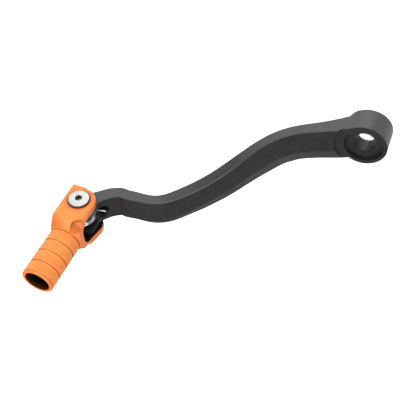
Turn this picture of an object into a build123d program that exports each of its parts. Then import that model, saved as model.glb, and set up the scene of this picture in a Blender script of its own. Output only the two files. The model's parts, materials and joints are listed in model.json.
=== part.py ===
from build123d import *
import os
from math import asin, cos, pi, radians, sin, sqrt, tan

# Folding-tip gear shift lever for a motorcycle, in millimetres.
# The origin is on the shift shaft axis, at the inboard end of its splines.
# +Y runs inboard along the shaft, -X runs forward to the tip, and +Z is up,
# along the pivot that the tip folds on.

# Shift shaft boss
boss_radius = 11.9
boss_thickness = 13.8
counterbore_radius = 9.9
counterbore_depth = 2.8
back_relief_radius = 9.0
back_relief_depth = 3.0
spline_teeth = 32
spline_tip_radius = 5.2
spline_root_radius = 5.8
spline_mouth_share = 0.62
spline_root_share = 0.3
spot_face_radius = 14.7
boss_blend = 9.0

# Arm: a bar that bends in plan and in side view, followed by its front top edge
pivot_x = -147.0
pivot_y = -54.2
pivot_z = -70.9
neck_x = 18.8
neck_y = 13.7
neck_z = 8.7
arm_reach = 124.0
arm_stations = 21
plan_bends = [(18.0, 33.0, 29.6), (61.0, 68.0, 0.0)]
side_bends = [(0.0, 84.0, 50.4), (74.0, 80.0, 23.8)]
neck_thickness = 7.3
arm_thickness = 8.4
boss_end_thickness = 13.6
neck_height = 17.4
arm_height = 17.6
boss_end_height = 18.8
thicken = (15.0, 60.0)
slim = (35.0, 62.0)
flare = (90.0, 110.0)
widen = (96.0, 122.0)
edge_break = 0.25
back_break = 0.8
break_grow = (0.0, 20.0)
break_start = 0.1
bevel_height = 5.6
bevel_depth = 1.3
bevel_grow = (10.0, 55.0)
bevel_start = 0.1

# Pivot eye at the end of the arm: a fork that straddles the spring
eye_half_height = 8.4
eye_radius = 7.9
eye_front = 9.0
eye_corner = 4.5
heel_y = 7.2
heel_end = (-1.4, heel_y)
cheek_start = (eye_front, 5.2)
cheek_end = (11.6, 8.4)
neck_hollow = (14.6, 11.4)
neck_back = (13.6, 19.5)
neck_back_end = (8.6, 16.3)
fork_top = 3.8
fork_bottom = -5.6
fork_angle = 47.0
fork_end = 16.0
mouth_end = 9.6
recess_depth = 4.4
eye_face_radius = 10.8
eye_bore_radius = 5.05

# Tip: clevis and barrel turned and milled from one bar
barrel_radius = 9.5
band_radius = 9.25
first_groove = 20.5
groove_pitch = 7.65
groove_count = 4
groove_width = 0.9
groove_depth = 0.55
lip_start = 50.7
lip_radius = 9.45
barrel_end = 51.5
barrel_chamfer = 0.4
tip_bore_radius = 7.5
tip_bore_depth = 26.0
drill_point = 3.5
clevis_half_width = 9.5
clevis_half_height = 13.1
clevis_back = 9.6
clevis_edge = 0.9
lower_ear_width = 11.2
lower_ear_root = -9.0
shoulder_start = 14.0
shoulder_radius = 16.2
shoulder_middle = (17.2, 12.4)
shoulder_ease = 0.35
scallop_radius = 5.5
scallop_length = 5.0
scallop_lean = 0.3
top_scallop = (9.2, -18.2, 12.9)
low_scallop = (10.2, -15.6, -14.4)
web_scallops = ((-10.2, -20.2, 14.2), (-10.2, -20.2, -14.2))
web_inner = 8.0
ear_inner = 8.9
pocket_floor = 15.2
pocket_corner = 6.5
root_start = 15.7
root_radius = 6.0

# Pivot hardware
screw_head_radius = 5.95
screw_rim = 1.2
screw_dome = 0.7
head_edge = 0.2
screw_radius = 3.0
screw_point = 0.5
screw_recess = 0.6
thread_gap = 0.02
socket_flats = 4.0
socket_depth = 1.8
sleeve_radius = 5.0
sleeve_bore_radius = 3.1
sleeve_edge = 0.3
sleeve_end_gap = 0.02
washer_inner_radius = 5.15
washer_outer_radius = 7.6
washer_thickness = 0.44
wire_radius = 0.75
coil_radius = 6.85
coil_turns = 4.22
arm_leg_angle = 100.8
arm_leg_length = 12.3
tip_leg_length = 2.4
leg_drop = 1.4
coil_end_gap = 0.1

# How far a cut runs on past the part
clear = 20.0

os.makedirs("parts", exist_ok=True)

pivot = Vector(pivot_x, pivot_y, pivot_z)


def about_pivot(x, y, z=0.0):
    """A point given from the pivot axis, at the barrel's height."""
    return pivot + Vector(x, y, z)


def follow(distance, bends):
    """Offset and slope of a chain of tangent straights and arcs.

    Each bend is the distance where it starts, its radius, and the slope in
    degrees that it turns to.
    """
    offset = 0.0
    slope = 0.0
    at = 0.0
    for start, radius, turn_to in bends:
        if distance <= start:
            break
        target = radians(turn_to)
        side = 1 if target > slope else -1
        offset += (start - at) * tan(slope)
        run = min(distance - start, radius * abs(sin(target) - sin(slope)))
        new_slope = asin(sin(slope) + side * run / radius)
        offset += side * radius * (cos(slope) - cos(new_slope))
        at = start + run
        slope = new_slope
    return offset + (distance - at) * tan(slope), slope


def blend(distance, stretch, low, high):
    """A value that goes evenly from low to high along a stretch of the arm."""
    start, end = stretch
    share = min(max((distance - start) / (end - start), 0.0), 1.0)
    return low + share * (high - low)


def arm_section(distance):
    """Plane on the arm's front top edge, with X across the bar and Y up it."""
    side_step, plan_slope = follow(distance, plan_bends)
    rise, side_slope = follow(distance, side_bends)
    corner = about_pivot(neck_x + distance, neck_y + side_step, neck_z + rise)
    along = Vector(1.0, tan(plan_slope), tan(side_slope))
    across = Vector(-sin(plan_slope), cos(plan_slope), 0.0)
    return Plane(origin=corner, x_dir=across, z_dir=along)


def arm_outline(distance):
    """Corners of the bar's section at a distance from the neck."""
    thick = blend(distance, thicken, neck_thickness, arm_thickness)
    thick += (boss_end_thickness - arm_thickness) * blend(distance, widen, 0.0, 1.0) ** 2
    tall = blend(distance, slim, neck_height, arm_height)
    tall += blend(distance, flare, 0.0, boss_end_height - arm_height)
    bevel = blend(distance, bevel_grow, bevel_start, 1.0)
    rear = back_break * blend(distance, break_grow, break_start, 1.0)
    return [
        (edge_break, 0.0),
        (0.0, -edge_break),
        (0.0, -tall + bevel * bevel_height),
        (bevel * bevel_depth, -tall),
        (thick - rear, -tall),
        (thick, -tall + rear),
        (thick, -rear),
        (thick - rear, 0.0),
    ]


# ---------------------------------------------------------------- lever_arm
eye_plane = Plane(origin=about_pivot(0, 0))
fork_half = (fork_top - fork_bottom) / 2
fork_middle = (fork_top + fork_bottom) / 2
fork_side = Plane(
    origin=about_pivot(0, 0, fork_middle),
    x_dir=(cos(radians(fork_angle)), sin(radians(fork_angle)), 0),
    z_dir=(sin(radians(fork_angle)), -cos(radians(fork_angle)), 0),
)
half_pitch = pi * spline_tip_radius / spline_teeth
groove_mouth = spline_mouth_share * half_pitch
groove_root = spline_root_share * half_pitch
boss_plane = Plane(origin=(0, back_relief_depth, 0), x_dir=(1, 0, 0), z_dir=(0, -1, 0))

# Where the blend touches the arm's top line and the boss circle
_, end_slope = follow(arm_reach, side_bends)
rise_end, _ = follow(arm_reach, side_bends)
end_x = pivot_x + neck_x + arm_reach
end_z = pivot_z + neck_z + rise_end
line_gap = (end_z - tan(end_slope) * end_x) * cos(end_slope)
from_line = line_gap + boss_blend
from_boss = sqrt((boss_radius + boss_blend) ** 2 - from_line**2)
along_line = (cos(end_slope), sin(end_slope))
off_line = (-sin(end_slope), cos(end_slope))
blend_on_arm = (
    -from_boss * along_line[0] + line_gap * off_line[0],
    -from_boss * along_line[1] + line_gap * off_line[1],
)
blend_centre = (
    -from_boss * along_line[0] + from_line * off_line[0],
    -from_boss * along_line[1] + from_line * off_line[1],
)
on_boss_share = boss_radius / (boss_radius + boss_blend)
blend_on_boss = (blend_centre[0] * on_boss_share, blend_centre[1] * on_boss_share)
blend_inside = (blend_on_boss[0] / 2, blend_on_boss[1] / 2)

# The spring's coil, and where its two straight legs leave it
coil_base = fork_bottom + wire_radius + leg_drop
coil_rise = fork_top - wire_radius - coil_end_gap - coil_base
coil = Location(about_pivot(0, 0, coil_base), (0, 0, arm_leg_angle)) * Helix(
    coil_rise / coil_turns, coil_rise, coil_radius, mode=Mode.PRIVATE
)
arm_leg_plane = Plane(origin=coil @ 0, z_dir=-(coil % 0))
tip_leg_plane = Plane(origin=coil @ 1, z_dir=coil % 1)

with BuildPart() as lever_arm:
    # Eye and its short diagonal neck, in plan
    with BuildSketch(eye_plane.offset(neck_z - neck_height)):
        with BuildLine():
            Line((-eye_radius, heel_y), (-eye_radius, 0))
            RadiusArc((-eye_radius, 0), (0, -eye_radius), -eye_radius)
            Line((0, -eye_radius), (eye_front - eye_corner, -eye_radius))
            RadiusArc(
                (eye_front - eye_corner, -eye_radius),
                (eye_front, eye_corner - eye_radius),
                -eye_corner,
            )
            Line((eye_front, eye_corner - eye_radius), cheek_start)
            Line(cheek_start, cheek_end)
            ThreePointArc(cheek_end, neck_hollow, (neck_x, neck_y))
            Line((neck_x, neck_y), (neck_x, neck_y + neck_thickness))
            ThreePointArc((neck_x, neck_y + neck_thickness), neck_back, neck_back_end)
            Line(neck_back_end, heel_end)
            Line(heel_end, (-eye_radius, heel_y))
        make_face()
    extrude(amount=neck_height)

    # Bar from the neck to the boss
    for station in range(arm_stations):
        reach = arm_reach * station / (arm_stations - 1)
        with BuildSketch(arm_section(reach)):
            with BuildLine():
                Polyline(*arm_outline(reach), close=True)
            make_face()
    loft()

    # Boss, faced off round the shaft
    with BuildSketch(boss_plane):
        Circle(boss_radius)
    extrude(amount=boss_thickness)
    with BuildSketch(boss_plane.offset(boss_thickness)):
        Circle(spot_face_radius)
    extrude(amount=boss_thickness, mode=Mode.SUBTRACT)

    # Hollow blend from the arm's top edge up to the boss
    with BuildSketch(boss_plane):
        with BuildLine():
            Polyline(blend_on_arm, blend_inside, blend_on_boss)
            RadiusArc(blend_on_boss, blend_on_arm, -boss_blend)
        make_face()
    extrude(amount=boss_thickness)

    # Counterbore for the shaft screw, relief at the back, and the splined bore
    with BuildSketch(boss_plane.offset(boss_thickness)):
        Circle(counterbore_radius)
    extrude(amount=-counterbore_depth, mode=Mode.SUBTRACT)
    with BuildSketch(boss_plane):
        Circle(back_relief_radius)
    extrude(amount=back_relief_depth, mode=Mode.SUBTRACT)
    with BuildSketch(boss_plane):
        Circle(spline_tip_radius)
        with PolarLocations(0, spline_teeth):
            Polygon(
                (0, 0),
                (spline_tip_radius, -groove_mouth),
                (spline_root_radius, -groove_root),
                (spline_root_radius, groove_root),
                (spline_tip_radius, groove_mouth),
                align=None,
            )
    extrude(amount=boss_thickness, mode=Mode.SUBTRACT)

    # Faces that run against the thrust washers
    for side in (1, -1):
        with BuildSketch(eye_plane.offset(side * eye_half_height)):
            Circle(eye_face_radius)
        extrude(amount=side * clear, mode=Mode.SUBTRACT)

    # Spring recess with a full round end and a thin wall at its back
    with BuildSketch(fork_side.offset(-recess_depth)):
        with BuildLine():
            Line((-clear, fork_half), (-clear, -fork_half))
            Line((-clear, -fork_half), (fork_end - fork_half, -fork_half))
            RadiusArc(
                (fork_end - fork_half, -fork_half),
                (fork_end - fork_half, fork_half),
                -fork_half,
            )
            Line((fork_end - fork_half, fork_half), (-clear, fork_half))
        make_face()
    extrude(amount=recess_depth + clear, mode=Mode.SUBTRACT)

    # Mouth of the fork, open right through, and the pivot bore
    with BuildSketch(fork_side):
        with Locations((mouth_end - clear / 2, 0)):
            Rectangle(clear, 2 * fork_half)
    extrude(amount=clear, both=True, mode=Mode.SUBTRACT)
    with BuildSketch(eye_plane):
        Circle(eye_bore_radius)
    extrude(amount=neck_height, both=True, mode=Mode.SUBTRACT)

lever_arm.part.label = "lever_arm"
export_step(lever_arm.part, "parts/lever_arm.step")

# -------------------------------------------------------------- folding_tip
tip_axis = Axis(about_pivot(0, 0), (0, 1, 0))
tip_side = Plane(origin=about_pivot(0, 0), x_dir=(0, -1, 0), z_dir=(1, 0, 0))
bore_floor = barrel_end - tip_bore_depth

with BuildPart() as folding_tip:
    # Clevis block in plan: square on the web side, round on the open side
    with BuildSketch(eye_plane.offset(-clevis_half_height)):
        with BuildLine():
            Polyline(
                (0, clevis_back),
                (-clevis_half_width, clevis_back),
                (-clevis_half_width, -first_groove),
                (clevis_half_width, -first_groove),
                (clevis_half_width, 0),
            )
            JernArc((clevis_half_width, 0), (0, 1), clevis_half_width, 90)
            Line((0, clevis_half_width), (0, clevis_back))
        make_face()
    extrude(amount=2 * clevis_half_height)
    flats = folding_tip.faces().filter_by(Axis.Z)
    chamfer(
        flats.edges().filter_by(Axis.Y) + flats.edges().filter_by(GeomType.CIRCLE),
        clevis_edge,
    )

    # The lower ear stands out further on the open side
    with BuildSketch(eye_plane.offset(-clevis_half_height)):
        with BuildLine():
            Polyline(
                (lower_ear_width, 0),
                (clevis_half_width, lower_ear_root),
                (0, lower_ear_root),
                (0, lower_ear_width),
            )
            JernArc((lower_ear_width, 0), (0, 1), lower_ear_width, 90)
        make_face()
    extrude(amount=clevis_half_height - ear_inner)

    # Shoulder that brings the block down to the round barrel
    with BuildSketch(tip_side):
        with BuildLine():
            Line((shoulder_start, clear), (shoulder_start, shoulder_radius))
            Spline(
                (shoulder_start, shoulder_radius),
                shoulder_middle,
                (first_groove, barrel_radius),
                tangents=[(shoulder_ease, -1), (1, -shoulder_ease)],
            )
            Line((first_groove, barrel_radius), (first_groove, clear))
            Line((first_groove, clear), (shoulder_start, clear))
        make_face()
    revolve(axis=tip_axis, mode=Mode.SUBTRACT)

    # Scallops at the four corners of the clevis
    for across, along, up in (top_scallop, low_scallop, *web_scallops):
        start = about_pivot(across, along, up)
        lean_x = -scallop_lean if across > 0 else scallop_lean
        lean_z = -scallop_lean if up > 0 else scallop_lean
        with BuildSketch(Plane(origin=start, z_dir=(lean_x, -1, lean_z))):
            Circle(scallop_radius)
        extrude(amount=scallop_length, mode=Mode.SUBTRACT)
        with Locations(start):
            Sphere(scallop_radius, mode=Mode.SUBTRACT)

    # Pocket for the eye, milled from the open side and closed by the web
    with BuildSketch(tip_side.offset(-web_inner)):
        with BuildLine():
            Polyline(
                (pocket_floor - pocket_corner, ear_inner),
                (-clear, ear_inner),
                (-clear, -ear_inner),
                (pocket_floor - pocket_corner, -ear_inner),
            )
            JernArc(
                (pocket_floor - pocket_corner, -ear_inner), (1, 0), pocket_corner, 90
            )
            Line(
                (pocket_floor, pocket_corner - ear_inner),
                (pocket_floor, ear_inner - pocket_corner),
            )
            JernArc(
                (pocket_floor, ear_inner - pocket_corner), (0, 1), pocket_corner, 90
            )
        make_face()
    extrude(amount=2 * clear, mode=Mode.SUBTRACT)

    # Barrel with its grooves and end chamfer, turned about the tip's axis
    with BuildSketch(tip_side):
        with BuildLine():
            outline = [(root_start, 0), (root_start, root_radius)]
            for groove in range(groove_count):
                before = first_groove + groove * groove_pitch - groove_width / 2
                if groove > 0:
                    outline.append((before, band_radius))
                outline.append((before, barrel_radius - groove_depth))
                outline.append((before + groove_width, barrel_radius - groove_depth))
                outline.append((before + groove_width, band_radius))
            outline.append((lip_start - groove_width / 2, band_radius))
            outline.append((lip_start - groove_width / 2, barrel_radius - groove_depth))
            outline.append((lip_start, barrel_radius - groove_depth))
            outline.append((lip_start, lip_radius))
            outline.append((barrel_end - barrel_chamfer, lip_radius))
            outline.append((barrel_end, lip_radius - barrel_chamfer))
            outline.append((barrel_end, 0))
            Polyline(*outline, close=True)
        make_face()
    revolve(axis=tip_axis)

    # Deep blind bore in the barrel's end
    with BuildSketch(tip_side):
        Polygon(
            (barrel_end + clear, 0),
            (barrel_end + clear, tip_bore_radius),
            (bore_floor + drill_point, tip_bore_radius),
            (bore_floor, 0),
            align=None,
        )
    revolve(axis=tip_axis, mode=Mode.SUBTRACT)

    # Screw hole through the upper ear, thread through the lower ear
    with BuildSketch(eye_plane):
        Circle(sleeve_bore_radius)
    extrude(amount=clear, mode=Mode.SUBTRACT)
    with BuildSketch(eye_plane):
        Circle(screw_radius + thread_gap)
    extrude(amount=-clear, mode=Mode.SUBTRACT)

folding_tip.part.label = "folding_tip"
export_step(folding_tip.part, "parts/folding_tip.step")

# -------------------------------------------------------------- pivot_screw
screw_side = Plane(origin=about_pivot(0, 0), x_dir=(1, 0, 0), z_dir=(0, -1, 0))
head_base = clevis_half_height
head_rim = head_base + screw_rim
head_top = head_rim + screw_dome
screw_end = screw_recess - clevis_half_height

with BuildPart() as pivot_screw:
    with BuildSketch(screw_side):
        with BuildLine():
            Polyline(
                (0, head_top),
                (0, screw_end),
                (screw_radius - screw_point, screw_end),
                (screw_radius, screw_end + screw_point),
                (screw_radius, head_base),
                (screw_head_radius - head_edge, head_base),
                (screw_head_radius, head_base + head_edge),
                (screw_head_radius, head_rim),
            )
            ThreePointArc(
                (screw_head_radius, head_rim),
                (screw_head_radius / 2, head_top - screw_dome / 4),
                (0, head_top),
            )
        make_face()
    revolve(axis=Axis(about_pivot(0, 0), (0, 0, 1)))
    with BuildSketch(eye_plane.offset(head_top)):
        RegularPolygon(socket_flats / 2, 6, major_radius=False)
    extrude(amount=-socket_depth - screw_dome, mode=Mode.SUBTRACT)

pivot_screw.part.label = "pivot_screw"
export_step(pivot_screw.part, "parts/pivot_screw.step")

# ------------------------------------------------------------- pivot_sleeve
sleeve_length = 2 * (ear_inner - sleeve_end_gap)

with BuildPart() as pivot_sleeve:
    with BuildSketch(eye_plane.offset(-sleeve_length / 2)):
        Circle(sleeve_radius)
        Circle(sleeve_bore_radius, mode=Mode.SUBTRACT)
    extrude(amount=sleeve_length)
    chamfer(pivot_sleeve.edges().filter_by(GeomType.CIRCLE), sleeve_edge)

pivot_sleeve.part.label = "pivot_sleeve"
export_step(pivot_sleeve.part, "parts/pivot_sleeve.step")

# ----------------------------------------------------------- thrust washers
washer_gap = (ear_inner - eye_half_height - washer_thickness) / 2

for name, washer_base in (
    ("upper_thrust_washer", eye_half_height + washer_gap),
    ("lower_thrust_washer", -ear_inner + washer_gap),
):
    with BuildPart() as thrust_washer:
        with BuildSketch(eye_plane.offset(washer_base)):
            Circle(washer_outer_radius)
            Circle(washer_inner_radius, mode=Mode.SUBTRACT)
        extrude(amount=washer_thickness)
    thrust_washer.part.label = name
    export_step(thrust_washer.part, f"parts/{name}.step")

# ------------------------------------------------------------ return_spring
with BuildPart() as return_spring:
    with BuildSketch(Plane(origin=coil @ 0, z_dir=coil % 0)):
        Circle(wire_radius)
    sweep(path=coil, is_frenet=True)
    for leg_plane, leg_length in (
        (arm_leg_plane, arm_leg_length),
        (tip_leg_plane, tip_leg_length),
    ):
        with BuildSketch(leg_plane):
            Circle(wire_radius)
        extrude(amount=leg_length)

return_spring.part.label = "return_spring"
export_step(return_spring.part, "parts/return_spring.step")
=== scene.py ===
import json
import math

import bmesh
import bpy
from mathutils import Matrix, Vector


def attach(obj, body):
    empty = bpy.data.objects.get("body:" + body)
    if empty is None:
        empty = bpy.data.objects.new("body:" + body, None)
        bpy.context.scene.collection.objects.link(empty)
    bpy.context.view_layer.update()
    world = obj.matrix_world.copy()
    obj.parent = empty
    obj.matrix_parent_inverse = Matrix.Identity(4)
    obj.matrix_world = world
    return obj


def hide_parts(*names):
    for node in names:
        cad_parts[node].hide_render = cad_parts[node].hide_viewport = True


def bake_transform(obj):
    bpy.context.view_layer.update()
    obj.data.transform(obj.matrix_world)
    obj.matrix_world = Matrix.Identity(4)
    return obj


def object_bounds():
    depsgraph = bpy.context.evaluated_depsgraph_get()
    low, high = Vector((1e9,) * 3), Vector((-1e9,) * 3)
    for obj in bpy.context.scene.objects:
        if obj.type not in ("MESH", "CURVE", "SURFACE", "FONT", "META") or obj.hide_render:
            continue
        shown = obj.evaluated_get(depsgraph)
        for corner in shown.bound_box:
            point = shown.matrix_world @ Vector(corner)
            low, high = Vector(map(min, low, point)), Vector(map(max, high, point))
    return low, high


# A motorcycle gear shift lever on a pale studio floor. Everything is in metres,
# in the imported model's frame: -X runs forward to the tip, +Y inboard along the
# shift shaft and +Z up along the tip's pivot.
MM = 0.001

# Camera, from the tip's pivot, with its rotation in degrees
CAMERA_OFFSET = Vector((161.6, -197.1, 301.8)) * MM
CAMERA_TILT = 39.54
CAMERA_ROLL = 0.34
CAMERA_TURN = 21.84
CAMERA_LENS = 56.25
CAMERA_SENSOR = 36.0
CAMERA_CLIP = 0.01

# Knurled bands on the tip's barrel
FIRST_GROOVE = 20.5 * MM
GROOVE_PITCH = 7.65 * MM
GROOVE_HALF = 0.45 * MM
LAST_BAND_END = 50.25 * MM
BAND_COUNT = 4
KNURL_INNER = 9.15 * MM
KNURL_LOW = 9.26 * MM
KNURL_HIGH = 9.5 * MM
KNURL_TEETH = 42
KNURL_FLAT = 0.3

# Outside of the barrel, from the pivot, where the deeper hollows get no painted shade
SKIN_INNER = 8.0 * MM
SKIN_OUTER = 8.3 * MM
BARREL_START = 19.0 * MM
BARREL_FADE = 1.0 * MM

# Return spring
WIRE_RADIUS = 0.75 * MM
WIRE_SIDES = 14
COIL_RADIUS = 6.85 * MM
COIL_TURNS = 4.22
COIL_STEPS_PER_TURN = 40
COIL_LOW = -3.45 * MM
COIL_HIGH = 2.95 * MM
ARM_LEG_ANGLE = 100.8
ARM_LEG_LENGTH = 12.2 * MM
TIP_LEG_LENGTH = 2.3 * MM
LEG_STEPS = 6

# Procedural textures. A noise's middle part is stretched over a whole range.
NOISE_START = 0.3
NOISE_END = 0.7
CLOUD_SCALE = 180.0
CLOUD_DETAIL = 5.0
CLOUD_ROUGHNESS = 0.55
GRAIN_DETAIL = 4.0
GRAIN_ROUGHNESS = 0.65
LINE_DISTORTION = 1.5
LINE_DETAIL = 2.0
# Samples for the painted shade in hollows
HOLLOW_SAMPLES = 8

# Soft lights: name, offset from the part's centre, side of the square and power
SOFTBOXES = (
    ("overhead_softbox", (-0.25, 0.40, 0.85), 1.3, 5.5),
    ("front_softbox", (-0.15, -0.90, 0.35), 0.8, 10.0),
    ("right_softbox", (0.55, -0.75, -0.05), 0.5, 4.5),
)

# World brightness, and the span of direction (Z or Y, from -1 to 1) it changes over
WORLD_LOW = 0.2
WORLD_HIGH = 0.5
WORLD_RISE = (-0.2, 0.6)
WORLD_FLOOR = 0.55
WORLD_FLOOR_EDGE = (-0.97, -0.8)
WORLD_BACK = 0.95
WORLD_BACK_RISE = (0.0, 0.6)

# Floor
FLOOR_HALF = 3.0
FLOOR_DROP = 0.16
FLOOR_TONE = 0.9
FLOOR_ROUGHNESS = 0.9
FLOOR_GLOW = 0.3

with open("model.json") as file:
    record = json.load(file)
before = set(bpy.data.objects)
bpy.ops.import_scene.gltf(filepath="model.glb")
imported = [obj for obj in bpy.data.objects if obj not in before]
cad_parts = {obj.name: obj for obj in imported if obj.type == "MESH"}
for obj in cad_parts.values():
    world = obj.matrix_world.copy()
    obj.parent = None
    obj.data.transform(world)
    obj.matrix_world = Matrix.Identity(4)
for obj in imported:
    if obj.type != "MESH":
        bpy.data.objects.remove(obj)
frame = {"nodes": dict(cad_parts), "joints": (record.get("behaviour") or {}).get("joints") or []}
cad_low, cad_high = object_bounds()
pivot = Vector(frame["joints"][0]["pos_m"])


# ------------------------------------------------------------------ materials
def node(tree, kind, **values):
    """A shader node with its properties or input sockets set by name."""
    made = tree.nodes.new(kind)
    for name, value in values.items():
        if hasattr(made, name):
            setattr(made, name, value)
        else:
            made.inputs[name.replace("_", " ")].default_value = value
    return made


def noise(tree, coordinates, scale, detail, roughness):
    """A noise texture in the piece's own coordinates, with scale per metre."""
    made = node(tree, "ShaderNodeTexNoise", Scale=scale, Detail=detail, Roughness=roughness)
    tree.links.new(coordinates, made.inputs["Vector"])
    return made.outputs["Fac"]


def spread(tree, value, low, high, start=NOISE_START, end=NOISE_END):
    """A value taken from one range to another, without going past its ends."""
    made = node(tree, "ShaderNodeMapRange")
    made.inputs["From Min"].default_value = start
    made.inputs["From Max"].default_value = end
    made.inputs["To Min"].default_value = low
    made.inputs["To Max"].default_value = high
    tree.links.new(value, made.inputs["Value"])
    return made.outputs["Result"]


def tones(tree, value, dark, light):
    """Colours from dark to light along a value."""
    ramp = node(tree, "ShaderNodeValToRGB")
    ramp.color_ramp.elements[0].position = NOISE_START
    ramp.color_ramp.elements[0].color = (*dark, 1.0)
    ramp.color_ramp.elements[1].position = NOISE_END
    ramp.color_ramp.elements[1].color = (*light, 1.0)
    tree.links.new(value, ramp.inputs["Fac"])
    return ramp.outputs["Color"]


def bumps(tree, shader, layers):
    """Stacks bump layers, each a height value and its depth in metres."""
    below = None
    for height, depth in layers:
        made = node(tree, "ShaderNodeBump", Strength=1.0, Distance=depth)
        tree.links.new(height, made.inputs["Height"])
        if below is not None:
            tree.links.new(below, made.inputs["Normal"])
        below = made.outputs["Normal"]
    tree.links.new(below, shader.inputs["Normal"])


def barrel_guard(tree, place):
    """Mask for the deeper painted shade: 0 on the grooved outside of the tip's barrel, 1
    everywhere else.
    """
    local = node(tree, "ShaderNodeVectorMath", operation="SUBTRACT")
    local.inputs[1].default_value = pivot
    tree.links.new(place, local.inputs[0])
    parts = node(tree, "ShaderNodeSeparateXYZ")
    tree.links.new(local.outputs["Vector"], parts.inputs["Vector"])
    flat = node(tree, "ShaderNodeVectorMath", operation="MULTIPLY")
    flat.inputs[1].default_value = (1.0, 0.0, 1.0)
    tree.links.new(local.outputs["Vector"], flat.inputs[0])
    radius = node(tree, "ShaderNodeVectorMath", operation="LENGTH")
    tree.links.new(flat.outputs["Vector"], radius.inputs[0])
    skin = spread(tree, radius.outputs["Value"], 0.0, 1.0, start=SKIN_INNER, end=SKIN_OUTER)
    ahead = spread(
        tree,
        parts.outputs["Y"],
        1.0,
        0.0,
        start=-BARREL_START - BARREL_FADE,
        end=-BARREL_START,
    )
    outside = node(tree, "ShaderNodeMath", operation="MULTIPLY")
    tree.links.new(skin, outside.inputs[0])
    tree.links.new(ahead, outside.inputs[1])
    guard = node(tree, "ShaderNodeMath", operation="SUBTRACT")
    guard.inputs[0].default_value = 1.0
    tree.links.new(outside.outputs["Value"], guard.inputs[1])
    return guard.outputs["Value"]


def painted_hollow_shade(tree, colour, depths, guard=None):
    """The colour with painted shade in hollows, where little light reaches.

    Each hollow has its depth, the share of colour left at its bottom, and how
    open it is where the painted shade is full and where it ends. Where the guard is
    0, only the first hollow gets painted shade.
    """
    for number, (depth, floor_share, closed, open_share) in enumerate(depths):
        hollow = node(tree, "ShaderNodeAmbientOcclusion", samples=HOLLOW_SAMPLES, Distance=depth)
        share = spread(
            tree, hollow.outputs["AO"], floor_share, 1.0, start=closed, end=open_share
        )
        mix = node(tree, "ShaderNodeMix", data_type="RGBA", blend_type="MULTIPLY")
        mix.inputs["Factor"].default_value = 1.0
        if number > 0 and guard is not None:
            tree.links.new(guard, mix.inputs["Factor"])
        tree.links.new(colour, mix.inputs["A"])
        tree.links.new(share, mix.inputs["B"])
        colour = mix.outputs["Result"]
    return colour


def metal(
    name,
    dark,
    light,
    metallic,
    rough,
    grain,
    grain_depth,
    lines=None,
    specular=0.5,
    hollows=(),
    guard=None,
):
    """A metal finish: mottled colour with painted shade in hollows, uneven roughness and a fine
    grain.

    rough is the least and greatest roughness. grain is the scale of the fine
    noise per metre, and grain_depth its height in metres. lines is the axis that
    turned or ground lines run round, their number per metre and their depth.
    hollows are the cavities that get painted shade in their colour, and guard builds
    the mask that limits it.
    """
    material = bpy.data.materials.new(name)
    material.use_nodes = True
    tree = material.node_tree
    shader = tree.nodes["Principled BSDF"]
    shader.inputs["Metallic"].default_value = metallic
    shader.inputs["Specular IOR Level"].default_value = specular
    place = node(tree, "ShaderNodeTexCoord").outputs["Object"]
    clouds = noise(tree, place, CLOUD_SCALE, CLOUD_DETAIL, CLOUD_ROUGHNESS)
    fine = noise(tree, place, grain, GRAIN_DETAIL, GRAIN_ROUGHNESS)
    mask = guard(tree, place) if guard else None
    # The mottled colour gets painted shade in its hollows.
    colour = painted_hollow_shade(tree, tones(tree, clouds, dark, light), hollows, mask)
    tree.links.new(colour, shader.inputs["Base Color"])
    tree.links.new(spread(tree, fine, *rough), shader.inputs["Roughness"])
    layers = [(fine, grain_depth)]
    if lines is not None:
        axis, count, depth = lines
        waves = node(
            tree,
            "ShaderNodeTexWave",
            wave_type="BANDS",
            bands_direction=axis,
            Scale=count,
            Distortion=LINE_DISTORTION,
            Detail=LINE_DETAIL,
        )
        tree.links.new(place, waves.inputs["Vector"])
        layers.append((waves.outputs["Fac"], depth))
    bumps(tree, shader, layers)
    return material


arm_black = metal(
    "arm_black_anodised",
    (0.007, 0.0071, 0.0073),
    (0.015, 0.0152, 0.0155),
    metallic=0.0,
    rough=(0.34, 0.48),
    grain=2600.0,
    grain_depth=0.000018,
    specular=0.62,
)
tip_orange = metal(
    "tip_orange_anodised",
    (0.82, 0.20, 0.036),
    (0.90, 0.24, 0.052),
    metallic=0.25,
    rough=(0.42, 0.54),
    grain=3200.0,
    grain_depth=0.000012,
    specular=0.35,
    # Painted shade: the colour darkens in the grooves, the pocket between the ears and the bore.
    hollows=((0.0016, 0.3, 0.15, 0.9), (0.008, 0.15, 0.78, 0.97), (0.03, 0.006, 0.42, 0.82)),
    guard=barrel_guard,
)
knurl_orange = metal(
    "knurl_orange_anodised",
    (0.95, 0.285, 0.056),
    (0.99, 0.35, 0.088),
    metallic=0.2,
    rough=(0.38, 0.5),
    grain=2400.0,
    grain_depth=0.000015,
    specular=0.4,
    # Painted shade: the colour darkens between the knurl teeth.
    hollows=((0.0008, 0.2, 0.45, 0.88),),
)
screw_steel = metal(
    "screw_bright_zinc",
    (0.41, 0.41, 0.403),
    (0.51, 0.51, 0.503),
    metallic=0.85,
    rough=(0.34, 0.46),
    grain=3000.0,
    grain_depth=0.000008,
    # Painted shade: the colour darkens in the hex socket and other recesses.
    hollows=((0.0025, 0.05, 0.3, 0.8),),
)
spring_steel = metal(
    "spring_bright_wire",
    (0.50, 0.51, 0.52),
    (0.68, 0.69, 0.70),
    metallic=0.95,
    rough=(0.2, 0.32),
    grain=3600.0,
    grain_depth=0.000006,
)
sleeve_steel = metal(
    "sleeve_ground_steel",
    (0.52, 0.52, 0.54),
    (0.66, 0.66, 0.68),
    metallic=1.0,
    rough=(0.2, 0.32),
    grain=3000.0,
    grain_depth=0.000004,
    lines=("Z", 1400.0, 0.000004),
)
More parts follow.
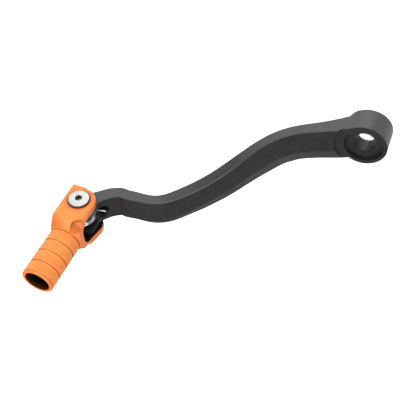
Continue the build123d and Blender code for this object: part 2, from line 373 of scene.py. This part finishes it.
washer_bronze = metal(
    "washer_bronze",
    (0.42, 0.27, 0.12),
    (0.62, 0.43, 0.21),
    metallic=1.0,
    rough=(0.28, 0.42),
    grain=2600.0,
    grain_depth=0.000006,
)

NODE_MATERIALS = {
    "lever_arm": arm_black,
    "folding_tip": tip_orange,
    "pivot_screw": screw_steel,
    "pivot_sleeve": sleeve_steel,
    "upper_thrust_washer": washer_bronze,
    "lower_thrust_washer": washer_bronze,
}
for name, material in NODE_MATERIALS.items():
    data = frame["nodes"][name].data
    data.materials.clear()
    data.materials.append(material)


# --------------------------------------------------------------------- meshes
def piece(name, mesh, material, smooth):
    """A new object with one material, which takes its finish from a slot."""
    data = bpy.data.meshes.new(name)
    mesh.to_mesh(data)
    mesh.free()
    for face in data.polygons:
        face.use_smooth = smooth
    data.materials.append(material)
    made = bpy.data.objects.new(name, data)
    bpy.context.scene.collection.objects.link(made)
    return made


def barrel_point(turn, along, radius):
    """A point on the barrel, from its angle, distance along Y and radius."""
    return Vector(
        (pivot.x + radius * math.cos(turn), along, pivot.z + radius * math.sin(turn))
    )


def knurled_band(start, length):
    """A ring of diamond knurling: truncated pyramids between crossed grooves."""
    mesh = bmesh.new()
    columns = 2 * KNURL_TEETH
    cell = 2 * math.pi / columns
    rows = 2 * round(length / (2 * cell * KNURL_LOW))
    step = length / rows

    def at(column, row, radius):
        return mesh.verts.new(barrel_point(column * cell, start + row * step, radius))

    grid = {
        (column, row): at(column, row, KNURL_LOW)
        for row in range(rows + 1)
        for column in range(columns)
        if (column + row) % 2 == 1 or row in (0, rows)
    }
    for row in (0, rows):
        rim = [at(column, row, KNURL_INNER) for column in range(columns)]
        for column in range(columns):
            after = (column + 1) % columns
            mesh.faces.new((grid[column, row], grid[after, row], rim[after], rim[column]))
    for row in range(rows + 1):
        for column in range(columns):
            if (column + row) % 2 == 1:
                continue
            right = grid[(column + 1) % columns, row]
            left = grid[(column - 1) % columns, row]
            if row in (0, rows):
                inward = grid[column, 1 if row == 0 else rows - 1]
                middle = grid[column, row]
                mesh.faces.new((middle, right, inward))
                mesh.faces.new((left, middle, inward))
                continue
            corners = [right, grid[column, row + 1], left, grid[column, row - 1]]
            tops = [
                at(column + KNURL_FLAT, row, KNURL_HIGH),
                at(column, row + KNURL_FLAT, KNURL_HIGH),
                at(column - KNURL_FLAT, row, KNURL_HIGH),
                at(column, row - KNURL_FLAT, KNURL_HIGH),
            ]
            mesh.faces.new(tops)
            for side in range(4):
                after = (side + 1) % 4
                mesh.faces.new((corners[side], corners[after], tops[after], tops[side]))
    bmesh.ops.recalc_face_normals(mesh, faces=mesh.faces)
    return mesh


def tube(points, radius, sides):
    """A closed tube of round wire along a line of points."""
    mesh = bmesh.new()
    across = Vector((0, 0, 1))
    rings = []
    for index, point in enumerate(points):
        before = points[max(index - 1, 0)]
        after = points[min(index + 1, len(points) - 1)]
        along = (after - before).normalized()
        across = (across - along * across.dot(along)).normalized()
        other = along.cross(across)
        rings.append(
            [
                mesh.verts.new(
                    point
                    + radius * math.cos(2 * math.pi * side / sides) * across
                    + radius * math.sin(2 * math.pi * side / sides) * other
                )
                for side in range(sides)
            ]
        )
    for ring, following in zip(rings, rings[1:]):
        for side in range(sides):
            after = (side + 1) % sides
            mesh.faces.new((ring[side], ring[after], following[after], following[side]))
    mesh.faces.new(rings[0][::-1])
    mesh.faces.new(rings[-1])
    bmesh.ops.recalc_face_normals(mesh, faces=mesh.faces)
    return mesh


def coil_line():
    """The spring's centre line: the arm's leg, the coil and the tip's leg."""
    steps = round(COIL_TURNS * COIL_STEPS_PER_TURN)
    first = math.radians(ARM_LEG_ANGLE)
    rise = COIL_HIGH - COIL_LOW
    coil = []
    for step in range(steps + 1):
        turn = first + 2 * math.pi * COIL_TURNS * step / steps
        height = COIL_LOW + rise * step / steps
        coil.append(
            pivot + Vector((COIL_RADIUS * math.cos(turn), COIL_RADIUS * math.sin(turn), height))
        )
    arm_way = (coil[0] - coil[1]).normalized()
    tip_way = (coil[-1] - coil[-2]).normalized()
    arm_leg = [
        coil[0] + arm_way * ARM_LEG_LENGTH * step / LEG_STEPS
        for step in range(LEG_STEPS, 0, -1)
    ]
    tip_leg = [
        coil[-1] + tip_way * TIP_LEG_LENGTH * step / LEG_STEPS
        for step in range(1, LEG_STEPS + 1)
    ]
    return arm_leg + coil + tip_leg


# ------------------------------------------------------- knurl and the spring
for number in range(BAND_COUNT):
    near = FIRST_GROOVE + number * GROOVE_PITCH + GROOVE_HALF
    far = min(near + GROOVE_PITCH - 2 * GROOVE_HALF, LAST_BAND_END)
    band = piece(
        f"knurled_band_{number + 1}",
        knurled_band(pivot.y - far, far - near),
        knurl_orange,
        smooth=False,
    )
    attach(band, "tip")

spring = piece(
    "return_spring_wire",
    tube(coil_line(), WIRE_RADIUS, WIRE_SIDES),
    spring_steel,
    smooth=True,
)
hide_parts("return_spring")
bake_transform(spring)


# --------------------------------------------------------------------- studio
def softbox(name, place, target, size, power):
    """A square soft light aimed at a point."""
    data = bpy.data.lights.new(name, "AREA")
    data.shape = "SQUARE"
    data.size = size
    data.energy = power
    made = bpy.data.objects.new(name, data)
    made.location = place
    made.rotation_mode = "QUATERNION"
    made.rotation_quaternion = (target - place).to_track_quat("-Z", "Y")
    bpy.context.scene.collection.objects.link(made)


centre = (cad_low + cad_high) / 2
for name, offset, size, power in SOFTBOXES:
    softbox(name, centre + Vector(offset), centre, size, power)

# A world that is pale above, darker below, and pale again straight down, where
# the studio floor lights the bevels along the bottom of the arm. It is also paler
# behind the lever than in front of it.
world = bpy.data.worlds.new("studio")
world.use_nodes = True
tree = world.node_tree
direction = node(tree, "ShaderNodeTexCoord")
height = node(tree, "ShaderNodeSeparateXYZ")
tree.links.new(direction.outputs["Generated"], height.inputs["Vector"])
above = spread(tree, height.outputs["Z"], WORLD_LOW, WORLD_HIGH, *WORLD_RISE)
straight_down = spread(tree, height.outputs["Z"], WORLD_FLOOR, 0.0, *WORLD_FLOOR_EDGE)
behind = spread(tree, height.outputs["Y"], 0.0, WORLD_BACK, *WORLD_BACK_RISE)
light = above
for share in (straight_down, behind):
    total = node(tree, "ShaderNodeMath", operation="ADD")
    tree.links.new(light, total.inputs[0])
    tree.links.new(share, total.inputs[1])
    light = total.outputs["Value"]
tree.links.new(light, tree.nodes["Background"].inputs["Color"])
bpy.context.scene.world = world

# The floor glows a little, and is kept out of the part's light and reflections.
floor_mesh = bmesh.new()
bmesh.ops.create_grid(floor_mesh, x_segments=1, y_segments=1, size=FLOOR_HALF)
floor_data = bpy.data.meshes.new("floor")
floor_mesh.to_mesh(floor_data)
floor_mesh.free()
floor = bpy.data.objects.new("floor", floor_data)
floor.location = (centre.x, centre.y, cad_low.z - FLOOR_DROP)
floor.visible_diffuse = False
floor.visible_glossy = False
bpy.context.scene.collection.objects.link(floor)
floor_paint = bpy.data.materials.new("floor_pale")
floor_paint.use_nodes = True
floor_shader = floor_paint.node_tree.nodes["Principled BSDF"]
floor_shader.inputs["Base Color"].default_value = (FLOOR_TONE, FLOOR_TONE, FLOOR_TONE, 1.0)
floor_shader.inputs["Roughness"].default_value = FLOOR_ROUGHNESS
floor_shader.inputs["Emission Color"].default_value = (1.0, 1.0, 1.0, 1.0)
floor_shader.inputs["Emission Strength"].default_value = FLOOR_GLOW
floor_data.materials.append(floor_paint)

camera_data = bpy.data.cameras.new("camera")
camera_data.sensor_width = CAMERA_SENSOR
camera_data.lens = CAMERA_LENS
camera_data.clip_start = CAMERA_CLIP
camera = bpy.data.objects.new("camera", camera_data)
camera.location = pivot + CAMERA_OFFSET
camera.rotation_euler = [math.radians(a) for a in (CAMERA_TILT, CAMERA_ROLL, CAMERA_TURN)]
bpy.context.scene.collection.objects.link(camera)
bpy.context.scene.camera = camera
bpy.context.scene.view_settings.view_transform = "Standard"
